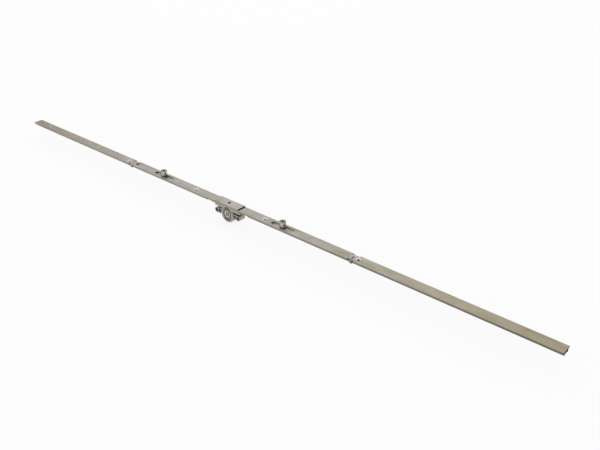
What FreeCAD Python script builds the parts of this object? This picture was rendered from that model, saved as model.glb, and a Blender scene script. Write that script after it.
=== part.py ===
import FreeCAD, Part
import math
import os
from types import SimpleNamespace

import Sketcher

# Window espagnolette with a 15 mm backset.
# Frame: origin on the spindle axis in the middle of the gearbox's thickness.
# +X runs along the faceplate, +Y across it along the spindle, +Z out towards the cams.

PI = math.pi

SIZES = [
    # Faceplate
    ("strip_length", 1000.0, "length of the faceplate"),
    ("strip_width", 16.0, "width of the faceplate"),
    ("strip_thick", 1.5, "thickness of the faceplate"),
    ("strip_bevel", 0.3, "bevel of the faceplate's outer edges"),
    ("backset", 15.0, "faceplate's outer face to the spindle axis"),
    ("screw_inner", 70.0, "inner screw holes from the middle"),
    ("screw_outer", 230.5, "outer screw holes from the middle"),
    ("screw_hole_radius", 2.2, "screw hole in the faceplate"),
    ("screw_sink_radius", 3.5, "countersink of the screw hole"),
    ("screw_sink_depth", 1.1, "depth of the countersink"),
    ("centre_hole_radius", 1.8, "hole in the middle of the cover"),
    # Cover plate over the gearbox
    ("cover_length", 48.0, "length of the raised cover"),
    ("cover_thick", 1.5, "thickness of the raised cover"),
    ("cover_bevel", 0.4, "bevel of the cover's outer edges"),
    # Drive rod profile
    ("slide_gap", 0.1, "running gap round the rod, rack and clips"),
    ("neck_width", 6.6, "width of the rod's upper rib"),
    ("neck_height", 1.6, "height of the rod's upper rib"),
    ("foot_width", 10.4, "width of the rod's foot"),
    ("foot_height", 2.4, "height of the rod's foot"),
    ("foot_bevel", 0.4, "bevel of the foot's corners"),
    ("hollow_width", 8.1, "width of the hollow in the foot"),
    ("hollow_height", 1.4, "height of the hollow in the foot"),
    ("rod_slot_width", 4.6, "slots in the rod for screws and rivets"),
    ("slot_clip", 1.0, "clipped corners of those slots"),
    ("slot_play", 0.5, "play at each end of a slot at full travel"),
    ("rod_case_gap", 0.9, "rod's inner end to the case at full travel"),
    # Pinion and rack
    ("gear_module", 1.25, "module of the pinion and the rack"),
    ("gear_teeth", 16.0, "teeth on the pinion"),
    ("mesh_play", 0.08, "play between meshing teeth"),
    ("hub_dedendum", 1.25, "depth of the pinion's gaps below the pitch circle, in modules"),
    ("rack_addendum", 0.9, "height of the rack's teeth above the pitch line, in modules"),
    ("rack_dedendum", 1.28, "depth of the rack's gaps below the pitch line, in modules"),
    ("gear_width", 6.0, "width of the pinion's teeth"),
    ("journal_radius", 6.7, "journals of the spindle hub"),
    ("run_gap", 0.06, "radial running gap of the journals"),
    ("spindle_square", 7.0, "square socket for the handle spindle"),
    ("rack_width", 7.0, "width of the rack bar"),
    ("link_reach", 8.0, "coupling link each way from the joint of rack and rod"),
    ("lug_length", 3.0, "staked lug of a link, along the rod"),
    ("lug_width", 4.0, "staked lug of a link, across the rod"),
    # Gear case
    ("case_thick", 10.5, "thickness of the gear case"),
    ("case_radius", 12.7, "outer radius of the case's barrel"),
    ("rail_length", 50.0, "length of the case's upper rail"),
    ("rail_floor", 1.7, "thickness of the rail under the rack"),
    ("lug_spacing", 43.0, "between the handle screw holes"),
    ("lug_radius", 4.0, "radius of the screw lugs"),
    ("lug_hole_radius", 2.75, "handle screw hole"),
    ("arm_recess", 0.8, "arms lie this much below the case's face"),
    ("case_rivet_radius", 2.0, "radius of the case rivets"),
    ("case_rivet_rise", 0.6, "rivets' ends above the arms' recess"),
    ("tab_x", 18.0, "case tabs from the middle"),
    ("tab_length", 6.0, "length of a case tab"),
    ("tab_thick", 1.3, "thickness of a case tab"),
    ("tab_rise", 0.9, "tabs above the faceplate's outer face"),
    # Cams
    ("cam_left", -144.0, "left cam"),
    ("cam_right", 103.0, "right cam"),
    ("cam_slot_width", 7.8, "width of the cam slots"),
    ("roller_radius", 4.8, "outer radius of a cam roller"),
    ("roller_top", 8.4, "roller's upper face above the faceplate"),
    ("roller_bevel", 0.35, "bevel of the roller's edges"),
    ("roller_sink_radius", 4.2, "recess in the roller's upper face"),
    ("roller_sink_depth", 1.2, "depth of that recess"),
    ("cam_core_radius", 2.8, "pin inside the roller"),
    ("cam_fit", 0.05, "radial gap of the roller on its pin"),
    ("cam_head_radius", 3.8, "head of the cam pin"),
    ("cam_head_rise", 0.2, "pin's head above the roller"),
    ("cam_socket", 4.0, "hexagon socket across flats"),
    ("cam_socket_depth", 3.2, "depth of the hexagon socket"),
    ("cam_spigot_radius", 2.2, "spigot riveted into the rod"),
    ("cam_tail_radius", 3.2, "rivet head inside the rod"),
    ("cam_tail_height", 1.0, "height of that rivet head"),
    ("collar_radius", 3.6, "collar that runs in the cam slot"),
    ("collar_rise", 0.5, "collar above the faceplate"),
    # Guides
    ("guide_inset_left", 21.5, "left guide rivet to the outer screw on its side"),
    ("guide_inset_right", 8.0, "right guide rivet to the outer screw on its side"),
    ("notch_left", -8.5, "left notches from their rivet"),
    ("notch_right", 1.0, "right notches from their rivet"),
    ("leg_length", 9.0, "clip leg's tab in its notch"),
    ("leg_shoulder", 3.0, "clip leg's shoulder beside its tab, under the faceplate"),
    ("clip_thick", 0.7, "thickness of a guide clip"),
    ("clip_drop", 0.2, "leg's end below the faceplate's outer face"),
    ("guide_head_radius", 3.8, "countersunk head of a guide rivet"),
    ("guide_head_height", 1.1, "height of that head"),
    ("guide_head_drop", 0.1, "head below the faceplate's outer face"),
    ("guide_shank_radius", 1.9, "shank of a guide rivet"),
    ("guide_tail_radius", 2.8, "lower head of a guide rivet"),
    ("guide_tail_height", 0.8, "height of that lower head"),
    ("fit_gap", 0.02, "gap round a riveted, staked or pressed shank"),
]


class Term:
    """A length that is known both as a number and as a formula of the sheet's cells."""

    def __init__(self, value, text):
        self.value = value
        self.text = text

    def __add__(self, other):
        other = term(other)
        return Term(self.value + other.value, "(%s + %s)" % (self.text, other.text))

    def __sub__(self, other):
        other = term(other)
        return Term(self.value - other.value, "(%s - %s)" % (self.text, other.text))

    def __mul__(self, other):
        other = term(other)
        return Term(self.value * other.value, "(%s * %s)" % (self.text, other.text))

    def __truediv__(self, other):
        other = term(other)
        return Term(self.value / other.value, "(%s / %s)" % (self.text, other.text))

    def __neg__(self):
        return term(0) - self

    __radd__ = __add__
    __rmul__ = __mul__

    def __rsub__(self, other):
        return term(other) - self


def term(number):
    """Any number as a Term."""
    if isinstance(number, Term):
        return number
    return Term(float(number), "%.9f" % number)


def bind(thing, path, length):
    """Tie a property or constraint to its formula."""
    thing.setExpression(path, term(length).text)


doc = FreeCAD.newDocument("espagnolette")
sheet = doc.addObject("Spreadsheet::Sheet", "Sizes")
for row, (alias, number, note) in enumerate(SIZES, 1):
    sheet.set("A%d" % row, alias)
    sheet.set("B%d" % row, str(number))
    sheet.setAlias("B%d" % row, alias)
    sheet.set("C%d" % row, note)
doc.recompute()

d = SimpleNamespace(**{alias: Term(number, "Sizes." + alias) for alias, number, _ in SIZES})

# Heights above the spindle axis
FACE = d.backset
FACE_LOW = FACE - d.strip_thick
ROD_TOP = FACE_LOW - d.slide_gap
FOOT_TOP = ROD_TOP - d.neck_height
FOOT_LOW = FOOT_TOP - d.foot_height
CEILING = FOOT_LOW + d.hollow_height
CLIP_TOP = FOOT_LOW - d.slide_gap
CLIP_LOW = CLIP_TOP - d.clip_thick

# Gear geometry: a quarter turn of the hub moves the rod by TRAVEL
PITCH_RADIUS = d.gear_module * d.gear_teeth / 2
TIP_RADIUS = PITCH_RADIUS + d.gear_module
ROOT_RADIUS = PITCH_RADIUS - d.gear_module * d.hub_dedendum
RACK_TIP = PITCH_RADIUS - d.gear_module * d.rack_addendum
RACK_ROOT = PITCH_RADIUS + d.gear_module * d.rack_dedendum
TOOTH_PITCH = d.gear_module * PI
TRAVEL = PITCH_RADIUS * (PI / 2)
PRESSURE = math.radians(20)
CHANNEL_LOW = RACK_TIP - d.slide_gap * 1.5

# A cut's outline runs past the material by this much
PAST = 1

# Positions along the rod
ROD_INNER = d.rail_length / 2 + TRAVEL + d.rod_case_gap
ROD_OUTER = d.strip_length / 2
SLOT_REACH = TRAVEL + d.slot_play
BOSS_START = d.lug_spacing / 2 - d.lug_radius
CASE_RIVET_X = (d.case_radius + BOSS_START) / 2

# Tabs stand in the case's side walls, midway between the rack's channel and the outer face
TAB_INNER = (d.rack_width / 2 + d.slide_gap / 2 + d.case_thick / 2 - d.tab_thick) / 2

sides = {"left": -1, "right": 1}
cam_at = {"left": d.cam_left, "right": d.cam_right}
guide_at = {
    "left": d.guide_inset_left - d.screw_outer,
    "right": d.screw_outer - d.guide_inset_right,
}
notch_at = {"left": d.notch_left, "right": d.notch_right}


def new_body(label):
    """An empty body whose label names its file."""
    body = doc.addObject("PartDesign::Body", label)
    body.Label = label
    return body


def sketch_on(body, role, offset=0):
    """A sketch on one of the body's own origin planes, moved along the plane's normal."""
    sketch = body.newObject("Sketcher::SketchObject", body.Label + "_sketch")
    plane = [part for part in body.Origin.OriginFeatures if part.Role == role][0]
    sketch.AttachmentSupport = [(plane, "")]
    sketch.MapMode = "FlatFace"
    bind(sketch, ".AttachmentOffset.Base.z", offset)
    return sketch


def hold(sketch, index, point, x, y):
    """Fix one point of a sketch by its two coordinates."""
    for kind, length in (("DistanceX", x), ("DistanceY", y)):
        value = term(length).value
        number = sketch.addConstraint(Sketcher.Constraint(kind, -1, 1, index, point, value))
        bind(sketch, "Constraints[%d]" % number, length)


def outline(sketch, points):
    """A closed outline of straight lines through the given points."""
    first = sketch.GeometryCount
    count = len(points)
    flat = [FreeCAD.Vector(term(x).value, term(y).value, 0) for x, y in points]
    for i in range(count):
        sketch.addGeometry(Part.LineSegment(flat[i], flat[(i + 1) % count]), False)
    for i in range(count):
        follower = first + (i + 1) % count
        sketch.addConstraint(Sketcher.Constraint("Coincident", first + i, 2, follower, 1))
    for i, (x, y) in enumerate(points):
        hold(sketch, first + i, 1, x, y)


def box_outline(sketch, x1, x2, y1, y2):
    """A rectangle given by its two spans."""
    outline(sketch, [(x1, y1), (x2, y1), (x2, y2), (x1, y2)])


def disc(sketch, x, y, radius):
    """A circle."""
    centre = FreeCAD.Vector(term(x).value, term(y).value, 0)
    up = FreeCAD.Vector(0, 0, 1)
    index = sketch.addGeometry(Part.Circle(centre, up, term(radius).value), False)
    hold(sketch, index, 3, x, y)
    number = sketch.addConstraint(Sketcher.Constraint("Radius", index, term(radius).value))
    bind(sketch, "Constraints[%d]" % number, radius)


def clipped_slot(sketch, x1, x2, half_width, clip):
    """A slot from one end to the other whose corners are clipped."""
    outline(sketch, [
        (x1, clip - half_width), (x1 + clip, -half_width),
        (x2 - clip, -half_width), (x2, clip - half_width),
        (x2, half_width - clip), (x2 - clip, half_width),
        (x1 + clip, half_width), (x1, half_width - clip),
    ])


def long_hole(sketch, x1, x2, y, radius):
    """A slot with round ends, from one end's centre to the other's."""
    up = FreeCAD.Vector(0, 0, 1)
    a, b, v, r = (term(length).value for length in (x1, x2, y, radius))
    left = Part.Circle(FreeCAD.Vector(a, v, 0), up, r)
    right = Part.Circle(FreeCAD.Vector(b, v, 0), up, r)
    first = sketch.addGeometry(Part.ArcOfCircle(left, PI / 2, 3 * PI / 2), False)
    low = (FreeCAD.Vector(a, v - r, 0), FreeCAD.Vector(b, v - r, 0))
    sketch.addGeometry(Part.LineSegment(*low), False)
    sketch.addGeometry(Part.ArcOfCircle(right, -PI / 2, PI / 2), False)
    high = (FreeCAD.Vector(b, v + r, 0), FreeCAD.Vector(a, v + r, 0))
    sketch.addGeometry(Part.LineSegment(*high), False)
    for i in range(4):
        follower = first + (i + 1) % 4
        sketch.addConstraint(Sketcher.Constraint("Tangent", first + i, 2, follower, 1))
    sketch.addConstraint(Sketcher.Constraint("Equal", first, first + 2))
    hold(sketch, first, 3, x1, y)
    hold(sketch, first + 2, 3, x2, y)
    number = sketch.addConstraint(Sketcher.Constraint("Radius", first, r))
    bind(sketch, "Constraints[%d]" % number, radius)


def hold_ends(sketch, index, start, end):
    """Fix both ends of a line or an arc, whichever way round the sketch keeps it."""
    first = sketch.getPoint(index, 1)
    near = abs(first.x - start[0].value) + abs(first.y - start[1].value)
    far = abs(first.x - end[0].value) + abs(first.y - end[1].value)
    if near > far:
        start, end = end, start
    hold(sketch, index, 1, *start)
    hold(sketch, index, 2, *end)


def pad(body, sketch, length, symmetric=False, reverse=False):
    """Material along the sketch's normal."""
    feature = body.newObject("PartDesign::Pad", body.Label + "_pad")
    feature.Profile = sketch
    feature.SideType = "Symmetric" if symmetric else "One side"
    feature.Reversed = reverse
    bind(feature, "Length", length)
    return feature


def pocket(body, sketch, length=None, reverse=False):
    """A cut against the sketch's normal, or right through when no depth is given."""
    feature = body.newObject("PartDesign::Pocket", body.Label + "_pocket")
    feature.Profile = sketch
    feature.Reversed = reverse
    if length is None:
        feature.SideType = "Symmetric"
        feature.Type = "ThroughAll"
    else:
        feature.SideType = "One side"
        bind(feature, "Length", length)
    return feature


def revolved(label, profile):
    """A body turned about its Z axis from (radius, height) points."""
    body = new_body(label)
    sketch = sketch_on(body, "XZ_Plane")
    outline(sketch, profile)
    feature = body.newObject("PartDesign::Revolution", label + "_turn")
    feature.Profile = sketch
    feature.ReferenceAxis = (sketch, ["V_Axis"])
    feature.Angle = 360
    return body


def place(body, x=0, y=0, z=0):
    """Put a body at a point that follows the sheet."""
    for axis, length in zip("xyz", (x, y, z)):
        bind(body, "Placement.Base." + axis, length)


def sink(body, x, y, low_radius, top_radius, depth):
    """A countersink whose wide end lies in the faceplate's outer face."""
    cone = body.newObject("PartDesign::SubtractiveCone", body.Label + "_sink")
    bind(cone, "Radius1", low_radius)
    bind(cone, "Radius2", top_radius)
    bind(cone, "Height", depth)
    place(cone, x, y, FACE - depth)


def group(label, bodies):
    """Several like pieces in one node, as separate solids."""
    compound = doc.addObject("Part::Compound", label)
    compound.Label = label
    compound.Links = bodies
    return compound


def strip_profile(sketch, width, low, top, bevel):
    """Section of a flat strip whose upper edges are bevelled."""
    half = width / 2
    outline(sketch, [
        (-half, low), (half, low), (half, top - bevel),
        (half - bevel, top), (bevel - half, top), (-half, top - bevel),
    ])


def tab_windows(sketch):
    """Four windows for the case's tabs."""
    for sign in sides.values():
        x = sign * d.tab_x
        reach = d.tab_length / 2 + d.slide_gap
        for edge in (-1, 1):
            box_outline(sketch, x - reach, x + reach, edge * (TAB_INNER - d.slide_gap),
                        edge * (TAB_INNER + d.tab_thick + d.slide_gap))


def link_window(sketch, x):
    """Window for a link's staked lug."""
    reach = d.lug_length / 2 + d.fit_gap
    half = d.lug_width / 2 + d.fit_gap
    box_outline(sketch, x - reach, x + reach, -half, half)


def make_faceplate():
    """Strip with everything that is punched out of it."""
    body = new_body("faceplate")
    section = sketch_on(body, "YZ_Plane")
    strip_profile(section, d.strip_width, FACE_LOW, FACE, d.strip_bevel)
    pad(body, section, d.strip_length, symmetric=True)

    holes = sketch_on(body, "XY_Plane")
    cam_reach = TRAVEL + d.slot_play
    slot_radius = d.cam_slot_width / 2
    half = d.strip_width / 2
    inner = d.foot_width / 2
    reach = d.leg_length / 2 + d.slot_play
    for side, sign in sides.items():
        cam = cam_at[side]
        end = cam_reach + d.collar_radius - slot_radius
        long_hole(holes, cam - end, cam + end, 0, slot_radius)
        disc(holes, sign * d.screw_inner, 0, d.screw_hole_radius)
        disc(holes, sign * d.screw_outer, 0, d.screw_hole_radius)
        disc(holes, guide_at[side], 0, d.guide_shank_radius + d.fit_gap)
        notch = guide_at[side] + notch_at[side]
        for edge in (-1, 1):
            box_outline(holes, notch - reach, notch + reach, edge * inner, edge * (half + PAST))
    tab_windows(holes)
    disc(holes, 0, 0, d.centre_hole_radius)
    pocket(body, holes)

    rivet_depth = d.guide_head_height + d.guide_head_drop
    rivet_slope = (d.guide_head_radius - d.guide_shank_radius) / d.guide_head_height
    rivet_hole = d.guide_shank_radius + d.fit_gap
    for side, sign in sides.items():
        for x in (d.screw_inner, d.screw_outer):
            sink(body, sign * x, 0, d.screw_hole_radius, d.screw_sink_radius, d.screw_sink_depth)
        top = rivet_hole + rivet_slope * rivet_depth
        sink(body, guide_at[side], 0, rivet_hole, top, rivet_depth)
    return body


def make_cover():
    """Raised plate with pockets that close over the case's tabs."""
    body = new_body("cover_plate")
    section = sketch_on(body, "YZ_Plane")
    strip_profile(section, d.strip_width, FACE, FACE + d.cover_thick, d.cover_bevel)
    pad(body, section, d.cover_length, symmetric=True)
    hole = sketch_on(body, "XY_Plane")
    disc(hole, 0, 0, d.centre_hole_radius)
    pocket(body, hole)
    recess = sketch_on(body, "XY_Plane", FACE)
    tab_windows(recess)
    pocket(body, recess, d.tab_rise + d.fit_gap, reverse=True)
    return body


def make_case(label, back):
    """One die-cast half; its inner face lies in the plane y = 0."""
    body = new_body(label)
    depth = d.case_thick / 2
    outer = -depth if back else depth
    reach = d.lug_spacing / 2
    half = d.rail_length / 2

    arms = sketch_on(body, "XZ_Plane")
    long_hole(arms, -reach, reach, 0, d.lug_radius)
    pad(body, arms, depth, reverse=back)
    recess = sketch_on(body, "XZ_Plane", outer)
    box_outline(recess, -BOSS_START, BOSS_START, -d.lug_radius - PAST, d.lug_radius + PAST)
    pocket(body, recess, d.arm_recess, reverse=back)
    barrel = sketch_on(body, "XZ_Plane")
    disc(barrel, 0, 0, d.case_radius)
    pad(body, barrel, depth, reverse=back)
    rail = sketch_on(body, "XZ_Plane")
    box_outline(rail, -half, half, CHANNEL_LOW - d.rail_floor, FACE_LOW)
    pad(body, rail, depth, reverse=back)
    tabs = sketch_on(body, "XZ_Plane", -TAB_INNER if back else TAB_INNER)
    for sign in sides.values():
        x = sign * d.tab_x
        box_outline(tabs, x - d.tab_length / 2, x + d.tab_length / 2,
                    FACE_LOW - d.tab_rise, FACE + d.tab_rise)
    pad(body, tabs, d.tab_thick, reverse=back)

    cavity = sketch_on(body, "XZ_Plane")
    disc(cavity, 0, 0, TIP_RADIUS + d.slide_gap * 2)
    pocket(body, cavity, d.gear_width / 2 + d.slide_gap, reverse=not back)
    channel = sketch_on(body, "XZ_Plane")
    box_outline(channel, -half - PAST, half + PAST, CHANNEL_LOW, FACE_LOW + PAST)
    pocket(body, channel, d.rack_width / 2 + d.slide_gap / 2, reverse=not back)
    bores = sketch_on(body, "XZ_Plane")
    disc(bores, 0, 0, d.journal_radius + d.run_gap)
    for sign in sides.values():
        disc(bores, sign * reach, 0, d.lug_hole_radius)
        disc(bores, sign * CASE_RIVET_X, 0, d.case_rivet_radius + d.fit_gap)
    pocket(body, bores)
    return body


def make_rack():
    """Toothed bar whose ends are stepped and pierced for the coupling links."""
    body = new_body("rack_bar")
    block = sketch_on(body, "YZ_Plane")
    box_outline(block, -d.rack_width / 2, d.rack_width / 2, RACK_TIP, ROD_TOP)
    pad(body, block, ROD_INNER * 2, symmetric=True)
    steps = sketch_on(body, "XZ_Plane")
    windows = sketch_on(body, "XY_Plane")
    for sign in sides.values():
        step = ROD_INNER - d.link_reach - d.fit_gap
        box_outline(steps, sign * step, sign * (ROD_INNER + PAST), RACK_TIP - PAST, CEILING)
        link_window(windows, sign * (ROD_INNER - d.link_reach / 2))
    pocket(body, steps)
    pocket(body, windows)

    # Tooth gaps: straight flanks at the pressure angle, opened past the tips
    slope = math.tan(PRESSURE)
    count = 2 * math.ceil((TRAVEL.value + TOOTH_PITCH.value * 1.6) / TOOTH_PITCH.value)
    first = TOOTH_PITCH * (-(count - 1) / 2)
    middle = TOOTH_PITCH / 4 + d.mesh_play / 2
    mouth = middle + (PITCH_RADIUS - RACK_TIP + PAST) * slope
    bottom = middle - (RACK_ROOT - PITCH_RADIUS) * slope
    gap = sketch_on(body, "XZ_Plane")
    outline(gap, [
        (first - mouth, RACK_TIP - PAST), (first + mouth, RACK_TIP - PAST),
        (first + bottom, RACK_ROOT), (first - bottom, RACK_ROOT),
    ])
    cut = pocket(body, gap)
    teeth = body.newObject("PartDesign::LinearPattern", "rack_teeth")
    teeth.Originals = [cut]
    teeth.Direction = (gap, ["H_Axis"])
    bind(teeth, "Length", TOOTH_PITCH * (count - 1))
    teeth.Occurrences = count
    body.Tip = teeth
    return body


def make_link(side):
    """Flat link under rack and rod, as wide as the rack, with a lug staked up into each."""
    body = new_body("rod_link_" + side)
    half = d.rack_width / 2
    plate = sketch_on(body, "XY_Plane", FOOT_LOW)
    box_outline(plate, -d.link_reach, d.link_reach, -half, half)
    pad(body, plate, CEILING - FOOT_LOW)
    lugs = sketch_on(body, "XY_Plane", CEILING)
    for end in (-1, 1):
        x = d.link_reach / 2 * end
        box_outline(lugs, x - d.lug_length / 2, x + d.lug_length / 2,
                    -d.lug_width / 2, d.lug_width / 2)
    pad(body, lugs, ROD_TOP - CEILING - d.fit_gap)
    place(body, sides[side] * ROD_INNER)
    return body


def make_rod(side):
    """Rolled rod profile with a narrow rib above a hollow foot."""
    sign = sides[side]
    body = new_body("drive_rod_" + side)
    start = ROD_INNER if sign > 0 else -ROD_OUTER
    section = sketch_on(body, "YZ_Plane", start)
    neck = d.neck_width / 2
    foot = d.foot_width / 2
    hollow = d.hollow_width / 2
    right = [
        (hollow, CEILING), (hollow, FOOT_LOW), (foot - d.foot_bevel, FOOT_LOW),
        (foot, FOOT_LOW + d.foot_bevel), (foot, FOOT_TOP), (neck, FOOT_TOP), (neck, ROD_TOP),
    ]
    outline(section, right + [(-y, z) for y, z in reversed(right)])
    pad(body, section, ROD_OUTER - ROD_INNER)

    # The guide rivet and the outer screw share a slot
    holes = sketch_on(body, "XY_Plane")
    half = d.rod_slot_width / 2
    screw_reach = SLOT_REACH + d.screw_hole_radius
    guide_reach = SLOT_REACH + d.guide_shank_radius
    screw = sign * d.screw_inner
    clipped_slot(holes, screw - screw_reach, screw + screw_reach, half, d.slot_clip)
    if sign > 0:
        ends = (guide_at[side] - guide_reach, d.screw_outer + screw_reach)
    else:
        ends = (-d.screw_outer - screw_reach, guide_at[side] + guide_reach)
    clipped_slot(holes, ends[0], ends[1], half, d.slot_clip)
    disc(holes, cam_at[side], 0, d.cam_spigot_radius + d.fit_gap)
    link_window(holes, sign * (ROD_INNER + d.link_reach / 2))
    pocket(body, holes)
    return body


def hub_gap(sketch):
    """One gap between two involute teeth, drawn about the sketch's upward direction."""
    teeth = int(d.gear_teeth.value)
    module = d.gear_module.value
    base = PITCH_RADIUS.value * math.cos(PRESSURE)
    tooth = PI / (2 * teeth) - d.mesh_play.value / 2 / PITCH_RADIUS.value
    lead = math.tan(PRESSURE) - PRESSURE

    def flank(radius):
        turn = math.acos(min(1.0, base / radius))
        half_gap = PI / teeth - (tooth + lead - math.tan(turn) + turn)
        return FreeCAD.Vector(radius * math.sin(half_gap), radius * math.cos(half_gap), 0)

    top = flank(TIP_RADIUS.value)
    middle = flank((TIP_RADIUS.value + base) / 2)
    low = flank(base)
    root = low * (ROOT_RADIUS.value / base)
    over = top * (1 + PAST / TIP_RADIUS.value)
    for side in sides.values():
        turned = [FreeCAD.Vector(side * p.x, p.y, 0) for p in (over, top, middle, low, root)]
        ends = [(d.gear_module * (p.x / module), d.gear_module * (p.y / module)) for p in turned]
        index = sketch.addGeometry(Part.LineSegment(turned[0], turned[1]), False)
        hold_ends(sketch, index, ends[0], ends[1])
        index = sketch.addGeometry(Part.Arc(turned[1], turned[2], turned[3]), False)
        hold_ends(sketch, index, ends[1], ends[3])
        radius = sketch.Geometry[index].Radius
        number = sketch.addConstraint(Sketcher.Constraint("Radius", index, radius))
        bind(sketch, "Constraints[%d]" % number, d.gear_module * (radius / module))
        index = sketch.addGeometry(Part.LineSegment(turned[3], turned[4]), False)
        hold_ends(sketch, index, ends[3], ends[4])
    for p in (over, root):
        x = d.gear_module * (p.x / module)
        y = d.gear_module * (p.y / module)
        index = sketch.addGeometry(Part.LineSegment(p, FreeCAD.Vector(-p.x, p.y, 0)), False)
        hold_ends(sketch, index, (x, y), (-x, y))


def make_hub():
    """Pinion between two journals, with the square socket through it."""
    face = d.gear_width / 2
    end = d.case_thick / 2
    body = revolved("spindle_hub", [
        (0, -end), (d.journal_radius, -end), (d.journal_radius, -face), (TIP_RADIUS, -face),
        (TIP_RADIUS, face), (d.journal_radius, face), (d.journal_radius, end), (0, end),
    ])
    gap = sketch_on(body, "XY_Plane")
    hub_gap(gap)
    cut = pocket(body, gap)
    pattern = body.newObject("PartDesign::PolarPattern", "hub_teeth")
    pattern.Originals = [cut]
    pattern.Axis = (gap, ["N_Axis"])
    pattern.Angle = 360
    pattern.Occurrences = int(d.gear_teeth.value)
    body.Tip = pattern
    doc.recompute()

    square = sketch_on(body, "XY_Plane")
    half = d.spindle_square / 2
    box_outline(square, -half, half, -half, half)
    pocket(body, square)
    body.Placement = FreeCAD.Placement(
        FreeCAD.Vector(), FreeCAD.Rotation(FreeCAD.Vector(1, 0, 0), 90))
    return body


def make_cam(side):
    """Riveted pin, its collar in the faceplate slot and the roller that turns on it."""
    x = cam_at[side]
    rod_top = ROD_TOP - FACE
    ceiling = CEILING - FACE
    sink_floor = d.roller_top - d.roller_sink_depth
    head_low = sink_floor + d.slide_gap
    head_top = d.roller_top + d.cam_head_rise

    pin = revolved("cam_pin_" + side, [
        (0, ceiling - d.cam_tail_height), (d.cam_tail_radius, ceiling - d.cam_tail_height),
        (d.cam_tail_radius, ceiling), (d.cam_spigot_radius, ceiling),
        (d.cam_spigot_radius, d.collar_rise), (d.cam_core_radius, d.collar_rise),
        (d.cam_core_radius, head_low), (d.cam_head_radius, head_low),
        (d.cam_head_radius, head_top), (0, head_top),
    ])
    socket = sketch_on(pin, "XY_Plane", head_top)
    flat = d.cam_socket / 2
    corner = d.cam_socket / math.sqrt(3)
    outline(socket, [
        (corner, 0), (corner / 2, flat), (-corner / 2, flat),
        (-corner, 0), (-corner / 2, -flat), (corner / 2, -flat),
    ])
    pocket(pin, socket, d.cam_socket_depth)
    place(pin, x, 0, FACE)

    inner = d.cam_spigot_radius + d.fit_gap
    collar = revolved("cam_collar_" + side, [
        (inner, rod_top), (d.collar_radius, rod_top),
        (d.collar_radius, d.collar_rise), (inner, d.collar_rise),
    ])
    place(collar, x, 0, FACE)

    bore = d.cam_core_radius + d.cam_fit
    low = d.collar_rise + d.slide_gap / 2
    outer = d.roller_radius
    roller = revolved("cam_roller_" + side, [
        (bore, low), (outer, low), (outer, d.roller_top - d.roller_bevel),
        (outer - d.roller_bevel, d.roller_top), (d.roller_sink_radius, d.roller_top),
        (d.roller_sink_radius, sink_floor), (bore, sink_floor),
    ])
    place(roller, x, 0, FACE)
    return [pin, collar, roller]


def make_guide(side):
    """Clip under the rod, and the countersunk rivet that holds it to the faceplate."""
    x = guide_at[side]
    notch = notch_at[side]
    top = CLIP_TOP - FACE
    low = CLIP_LOW - FACE
    under = FACE_LOW - FACE
    inner = d.foot_width / 2 + d.slide_gap
    outer = inner + d.clip_thick
    reach = d.leg_length / 2

    # A trough whose walls stop under the faceplate, each with a tab in its notch. Beside
    # the tab a wall has a shoulder, on the side away from the outer screw.
    clip = new_body("guide_clip_" + side)
    start = notch - reach
    if side == "right":
        start = start - d.leg_shoulder
    section = sketch_on(clip, "YZ_Plane", start)
    outline(section, [
        (-outer, low), (outer, low), (outer, under), (inner, under),
        (inner, top), (-inner, top), (-inner, under), (-outer, under),
    ])
    pad(clip, section, reach * 2 + d.leg_shoulder)
    tabs = sketch_on(clip, "XY_Plane", under)
    for edge in (-1, 1):
        box_outline(tabs, notch - reach, notch + reach, edge * inner, edge * outer)
    pad(clip, tabs, -under - d.clip_drop)
    if side == "left":
        # The left rivet stands beside the trough, in a tongue of its floor
        half = d.guide_tail_radius + d.clip_thick
        tongue = sketch_on(clip, "XY_Plane", low)
        box_outline(tongue, notch, half, -half, half)
        pad(clip, tongue, d.clip_thick)
    hole = sketch_on(clip, "XY_Plane")
    disc(hole, 0, 0, d.guide_shank_radius + d.fit_gap)
    pocket(clip, hole)
    place(clip, x, 0, FACE)

    head = -d.guide_head_drop
    tail = low - d.guide_tail_height
    rivet = revolved("guide_rivet_" + side, [
        (0, tail), (d.guide_tail_radius, tail), (d.guide_tail_radius, low),
        (d.guide_shank_radius, low),
        (d.guide_shank_radius, head - d.guide_head_height), (d.guide_head_radius, head),
        (0, head),
    ])
    place(rivet, x, 0, FACE)
    return [clip, rivet]


def make_case_rivets():
    """Two rivets across the case, their ends standing in the arms' recesses."""
    bodies = []
    for side, sign in sides.items():
        rivet = new_body("case_rivet_" + side)
        section = sketch_on(rivet, "XZ_Plane")
        disc(section, sign * CASE_RIVET_X, 0, d.case_rivet_radius)
        length = d.case_thick - (d.arm_recess - d.case_rivet_rise) * 2
        pad(rivet, section, length, symmetric=True)
        bodies.append(rivet)
    return group("case_rivets", bodies)


nodes = [
    make_faceplate(),
    make_cover(),
    make_case("gear_case_front", back=False),
    make_case("gear_case_back", back=True),
    make_case_rivets(),
    make_hub(),
    make_rack(),
]
for side in sides:
    nodes.append(make_rod(side))
    nodes.append(make_link(side))
    nodes.extend(make_cam(side))
    nodes.extend(make_guide(side))

doc.recompute()

for item in doc.Objects:
    if "Invalid" in item.State or "Error" in item.State:
        raise RuntimeError("%s failed: %s" % (item.Label, item.State))

# Every pad has to add material and every cut has to take some away
adding = ("PartDesign::Pad",)
cutting = ("PartDesign::Pocket", "PartDesign::SubtractiveCone",
           "PartDesign::LinearPattern", "PartDesign::PolarPattern")
for item in doc.Objects:
    before = getattr(item, "BaseFeature", None)
    if before is None or item.TypeId not in adding + cutting:
        continue
    change = item.Shape.Volume - before.Shape.Volume
    if item.TypeId in cutting:
        change = -change
    if change < 0.01:
        raise RuntimeError("%s changes nothing" % item.Name)

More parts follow.
